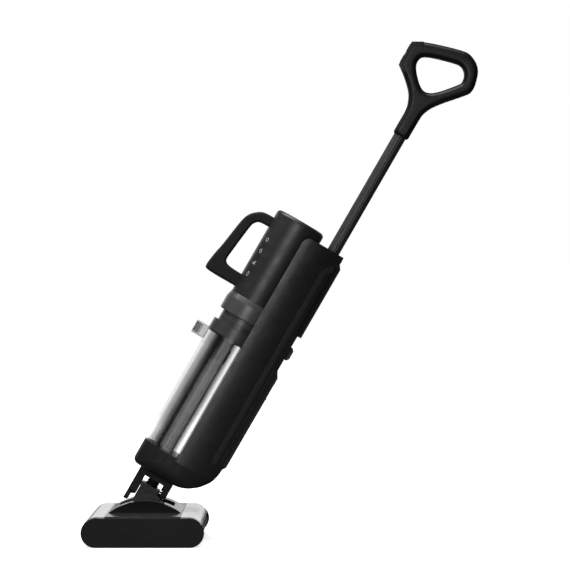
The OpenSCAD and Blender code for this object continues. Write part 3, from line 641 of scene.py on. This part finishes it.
def make_carry_loop():
    points = [Vector(p) for p in LOOP_OUTER + LOOP_INNER]
    square = {0, len(LOOP_OUTER) - 1, len(LOOP_OUTER), len(points) - 1}
    loop = []
    for i, point in enumerate(points):
        if i in square:
            loop.append(point)
            continue
        before, after = points[i - 1], points[(i + 1) % len(points)]
        loop += [corner_point(before, point, after, t) for t in (0, 0.2, 0.4, 0.6, 0.8, 1)]
    piece = finish_piece("carry_loop_grip", thick_shape("loop", [loop], 12, 5), "vacuum_unit",
                         ("black_plastic", "cap_plastic"))
    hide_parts("carry_loop")
    even_normals(piece)


# ---- head: roller pile ----


PILE_DEPTH = 0.0035     # metres, from the core to the tips
END_INSET = 0.0002


def make_pile(name, body):
    """A roller's pile: short tufts in bands that wind round it, closed at both ends."""
    low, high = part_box(name)
    centre = (low + high) / 2
    radius = (high.x - low.x) / 2
    core = radius - PILE_DEPTH
    rows, columns = 240, 88
    verts = []

    def ring(y, size, tuft):
        for c in range(columns):
            a = math.tau * c / columns
            r = size
            if tuft:
                wind = math.sin(2 * (a + y * 26))
                groove = max(0, wind) ** 6
                tips = field.noise(Vector((a * 9, y * 420, 3)))
                r += 0.0014 * (0.5 + 0.5 * tips) - 0.0011 * groove - 0.0002
            verts.append((centre.x + r * math.sin(a), y, centre.z + r * math.cos(a)))

    ring(low.y + END_INSET, core, False)
    for r in range(rows):
        t = r / (rows - 1)
        y = low.y + 0.0004 + (high.y - low.y - 0.0008) * t
        ring(y, radius - 0.0014, True)
    ring(high.y - END_INSET, core, False)
    count = rows + 2
    faces = grid_faces(count, columns, wrap=True)
    last = (count - 1) * columns
    faces += [(last + c, last + (c + 1) % columns, (c + 1) % columns, c) for c in range(columns)]
    piece = mesh_object(name + "_tufts", verts, faces, body, "pile_grey")
    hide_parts(name)


# ---- neck: bellows ----


def make_bellows():
    """A soft corrugated sleeve round the suction duct, closed at both ends by its wall."""
    low, high = reach("neck_bellows")
    centre_x, radius = (low.x + high.x) / 2, (high.x - low.x) / 2
    inner, folds, columns = radius - 3.4, 5, 64
    verts = []
    outer = [(radius - 1.1 - 1.1 * math.cos(math.tau * folds * t / 60),
              low.z + (high.z - low.z) * t / 60)
             for t in range(61)]
    profile = [(inner - 0.8, low.z)] + outer + [(inner - 0.8, high.z)]
    for r, z in profile:
        for c in range(columns):
            a = math.tau * c / columns
            verts.append(body_point(centre_x + r * math.cos(a), r * math.sin(a), z))
    faces = grid_faces(len(profile), columns, wrap=True)
    last = (len(profile) - 1) * columns
    faces += [(last + c, last + (c + 1) % columns, (c + 1) % columns, c) for c in range(columns)]
    piece = mesh_object("neck_sleeve", verts, faces, None, "seal_rubber")
    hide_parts("neck_bellows")
    body_point(centre_x, 0, low.z)
    body_point(centre_x, 0, high.z)
    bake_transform(piece)


# ---- body: bowl and trim strips ----


SEAM = 104.0           # where the shell meets the bowl, along the body
BOWL_VOXEL = 1.1
BOWL_STEP = 2.0        # length of the slices that the bowl's outline is measured in
BOWL_FAN = 30          # directions in a slice, from its side to its lowest point
BOWL_POWER = 5.0       # 2 gives an ellipse, more gives fuller lower corners
BOWL_FLANK = 88        # above this the bowl's full width is measured
BOWL_SMOOTH_BELOW = 98
BOWL_SMOOTHING = 14
RIM_START = 4.2        # behind this the bowl has its rim
RIM_UP, RIM_BACK = 1.1, 1.2


def make_bowl():
    """The bowl with fuller lower corners than its CAD form. Each slice across it is pushed out
    towards a squarish curve, and the result is smoothed. Its rim runs up inside the shell."""
    source = nodes["bowl"]
    mesh = source.data.copy()
    copy = bpy.data.objects.new("bowl_form", mesh)
    scene.collection.objects.link(copy)
    remesh = copy.modifiers.new("remesh", "REMESH")
    remesh.mode = "VOXEL"
    remesh.voxel_size = BOWL_VOXEL * MM
    view = bpy.context.evaluated_depsgraph_get()
    view.update()
    fine = bpy.data.meshes.new_from_object(copy.evaluated_get(view))
    bpy.data.objects.remove(copy)
    work = bmesh.new()
    work.from_mesh(fine)
    place = {v: (INTO_BODY @ v.co) / MM for v in work.verts}
    wide, deep = {}, {}
    for at in place.values():
        k = round(at.x / BOWL_STEP)
        deep[k] = min(deep.get(k, 999), at.z)
        if at.z > BOWL_FLANK:
            wide[k] = max(wide.get(k, 0), abs(at.y))
    polar, far = {}, {}
    for vert, at in place.items():
        k = round(at.x / BOWL_STEP)
        across = abs(at.y) / max(wide.get(k, 0), 2)
        down = (SEAM - at.z) / (SEAM - deep[k])
        if down > 0:
            angle = math.atan2(down, across) / (math.pi / 2) * BOWL_FAN
            polar[vert] = (angle, math.hypot(across, down), across, down)
            spot = (k, round(angle))
            far[spot] = max(far.get(spot, 0), math.hypot(across, down))
    for vert, (angle, size, across, down) in polar.items():
        at = place[vert]
        col, row = at.x / BOWL_STEP, angle
        total = weight = 0
        for i in (math.floor(col), math.floor(col) + 1):
            for j in (math.floor(row), math.floor(row) + 1):
                share = (1 - abs(col - i)) * (1 - abs(row - j))
                if share > 0 and (i, j) in far:
                    total += share * far[i, j]
                    weight += share
        if weight:
            full = (across ** BOWL_POWER + down ** BOWL_POWER) ** (-1 / BOWL_POWER) * size
            grow = full / (total / weight)
            vert.co = body_point(at.x, at.y * grow, SEAM - (SEAM - at.z) * grow)
    low_verts = [v for v, at in place.items() if at.z < BOWL_SMOOTH_BELOW]
    for _ in range(BOWL_SMOOTHING):
        bmesh.ops.smooth_vert(work, verts=low_verts, factor=0.5,
                              use_axis_x=True, use_axis_y=True, use_axis_z=True)
    for vert, at in place.items():
        if at.x > RIM_START and SEAM - 1.6 < at.z < SEAM + 0.5:
            vert.co += UP * (MM * RIM_UP)
        if at.x > RIM_START and at.z > SEAM + 0.5:
            vert.co += BACK * (MM * RIM_BACK)
    work.to_mesh(fine)
    work.free()
    piece = finish_piece("bowl_skin", fine, "frame", ("frame_black", "bowl_black"))
    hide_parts("bowl")


# Middle and radius of the shell's tail arc, and the angle where its flank begins
TAIL = (43.4, 49.31, 62.4)
FLANK_R = 136.0


def on_shell(s, proud, side):
    """X and Y of a point s millimetres forward of the flank's start round the shell, proud of it."""
    middle, radius, start = TAIL
    a = math.radians(start)
    if s <= 0:
        a += s / radius
        return middle + (radius + proud) * math.cos(a), side * (radius + proud) * math.sin(a)
    hub = (middle - (FLANK_R - radius) * math.cos(a), -(FLANK_R - radius) * math.sin(a))
    a += s / FLANK_R
    reach_out = FLANK_R + proud
    return hub[0] + reach_out * math.cos(a), side * (hub[1] + reach_out * math.sin(a))


def make_trim(side, label):
    """A strip raised on the shell: up along its rear corner, then round to the back at the top."""
    start, turn_z, bend = -1.1, 537.0, 19.0
    path = [(start, 134 + (turn_z - 134) * t / 40, 0) for t in range(41)]
    path += [(start - bend * (1 - math.cos(a)), turn_z + bend * math.sin(a), a)
             for a in [math.radians(5 * i) for i in range(1, 18)]]
    width = 5.8
    columns = [(-1, -0.12), (-0.92, 0.03), (-0.7, 0.13), (-0.35, 0.2), (0, 0.22), (0.35, 0.2),
               (0.7, 0.13), (0.92, 0.03), (1, -0.12)]
    verts = []
    for s, z, a in path:
        for u, proud in columns:
            x, y = on_shell(s + u * width * math.cos(a), proud, side)
            verts.append(body_point(x, y, z + u * width * math.sin(a)))
    count = len(columns)
    faces = grid_faces(len(path), count, wrap=True)
    faces += [tuple(range(count)),
              tuple(reversed(range((len(path) - 1) * count, len(path) * count)))]
    piece = mesh_object("shell_trim_" + label, verts, faces, "frame",
                        ("frame_black", "strip_black"))
    even_normals(piece)


# ---- pole ----


POLE_WALL = 1.3
POLE_GROOVE_AT, POLE_GROOVE_HALF, POLE_GROOVE_DEPTH = 2, 0.8, 0.5


def make_pole():
    """A drawn tube with a fine groove down each side."""
    low, high = reach("pole")
    middle = (low.x + high.x) / 2
    outer = (high.x - low.x) / 2
    inner = outer - POLE_WALL
    columns = 96
    verts = []
    for z in (low.z, high.z):
        for size in (0, 1):
            for c in range(columns):
                a = math.tau * c / columns
                r = inner if size else outer
                if not size and abs(math.cos(a) * outer - POLE_GROOVE_AT) < POLE_GROOVE_HALF:
                    r -= POLE_GROOVE_DEPTH
                verts.append(body_point(middle + r * math.cos(a), r * math.sin(a), z))
    faces = []
    for c in range(columns):
        n = (c + 1) % columns
        a, b, e, d = 0, columns, 2 * columns, 3 * columns
        faces += [(a + c, a + n, e + n, e + c), (b + c, d + c, d + n, b + n),
                  (a + c, b + c, b + n, a + n), (e + c, e + n, d + n, d + c)]
    piece = mesh_object("pole_tube", verts, faces, "pole", "pole_alu")
    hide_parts("pole")
    even_normals(piece)


# ---- printed marks ----


def stroke(points, closed, width, place, depth=0.25, proud=0.1):
    """A printed line through points, as a thin closed ribbon. place(u, v, lift) puts a point
    on the part."""
    count = len(points)
    verts, faces = [], []
    for i, point in enumerate(points):
        before = points[i - 1] if closed or i else point
        after = points[(i + 1) % count] if closed or i < count - 1 else point
        along_line = (after - before).normalized()
        side = Vector((-along_line.y, along_line.x)) * width / 2
        for offset, lift in ((side, proud), (-side, proud), (-side, -depth), (side, -depth)):
            verts.append(place(point.x + offset.x, point.y + offset.y, lift))
    for i in range(count if closed else count - 1):
        n = (i + 1) % count
        faces += [(4 * i + k, 4 * i + (k + 1) % 4, 4 * n + (k + 1) % 4, 4 * n + k)
                  for k in range(4)]
    if not closed:
        faces += [(0, 1, 2, 3), tuple(4 * (count - 1) + k for k in (3, 2, 1, 0))]
    return verts, faces


def arc(radius, start, end, steps=24, at=(0, 0)):
    return [Vector((at[0] + radius * math.cos(math.radians(start + (end - start) * i / steps)),
                    at[1] + radius * math.sin(math.radians(start + (end - start) * i / steps))))
            for i in range(steps + 1)]


def printed(name, strokes, body):
    verts, faces = [], []
    for points, closed, width, place in strokes:
        more, sides = stroke(points, closed, width, place)
        faces += [tuple(i + len(verts) for i in side) for side in sides]
        verts += more
    return mesh_object(name, verts, faces, body, "mark_grey", smooth=False)


def make_status_icons():
    """Four plain symbols in a column on the left flank of the vacuum unit: power, a drop,
    bars and a cell."""
    axis_x, angle = -15.0, math.radians(218.5)
    marks = [INTO_BODY @ v.co / MM for v in nodes["status_marks"].data.vertices]
    radius = max(math.hypot(p.x - axis_x, p.y) for p in marks)

    def at_height(z):
        def place(u, v, lift):
            a = angle + u / radius
            r = radius + lift
            return body_point(axis_x + r * math.cos(a), r * math.sin(a), z + v)
        return place

    drop = [Vector((0, 4.6)), Vector((1.8, 1.6))]
    drop += arc(2.8, 20, -200, 18, (0, -0.8)) + [Vector((-1.8, 1.6))]
    strokes = [(arc(3.5, 125, 415), False, 1.1, at_height(543.8)),
               ([Vector((0, 0.8)), Vector((0, 4.3))], False, 1.1, at_height(543.8)),
               (drop, True, 1.1, at_height(519.5))]
    for i in range(3):
        x, tall = -3 + 3 * i, 3.4 + 1.9 * i
        strokes.append(([Vector((x, -3.6)), Vector((x, -3.6 + tall))], False, 1.4,
                        at_height(495.1)))
    cell = [Vector(p) for p in ((-2.4, -4), (2.4, -4), (2.4, 3.2), (-2.4, 3.2))]
    strokes += [(cell, True, 1.1, at_height(470.8)),
                ([Vector((-1.1, 4.4)), Vector((1.1, 4.4))], False, 1.2, at_height(470.8))]
    printed("status_icons", strokes, "vacuum_unit")


def make_display():
    """A ring of fine ticks and two level bars printed under the top window."""
    low, high = reach("display_window")
    x, top = (low.x + high.x) / 2, high.z

    def place(u, v, lift):
        return body_point(x + u, v, top + lift)

    strokes = []
    for i in range(36):
        a = math.radians(10 * i)
        inner, outer = (20.5 if i % 3 else 19.3), 22.5
        strokes.append(([Vector((inner * math.cos(a), inner * math.sin(a))),
                         Vector((outer * math.cos(a), outer * math.sin(a)))], False, 0.55, place))
    strokes.append((arc(25.2, 0, 350, 60), False, 0.5, place))
    for side in (-1, 1):
        strokes.append(([Vector((-5, side * 6)), Vector((5, side * 6))], False, 1.4, place))
    printed("display_marks", strokes, "vacuum_unit")


def make_button_icons():
    for name in ("power_button", "mode_button"):
        low, high = reach(name)
        z = (low.z + high.z) / 2

        def place(u, v, lift):
            return body_point(low.x - lift, u, z + v)

        if name == "power_button":
            strokes = [(arc(2.6, 125, 415), False, 0.6, place),
                       ([Vector((0, 0.5)), Vector((0, 3.3))], False, 0.6, place)]
        else:
            strokes = [([Vector((-2.6, v)), Vector((2.6, v))], False, 0.6, place)
                       for v in (-1.8, 0, 1.8)]
        printed(name + "_icon", strokes, name)


make_handle()
make_carry_loop()
make_pile("front_roller_pile", "front_roller")
make_pile("rear_roller_pile", "rear_roller")
make_bellows()
make_bowl()
make_trim(-1, "left")
make_trim(1, "right")
make_pole()
make_status_icons()
make_display()
make_button_icons()
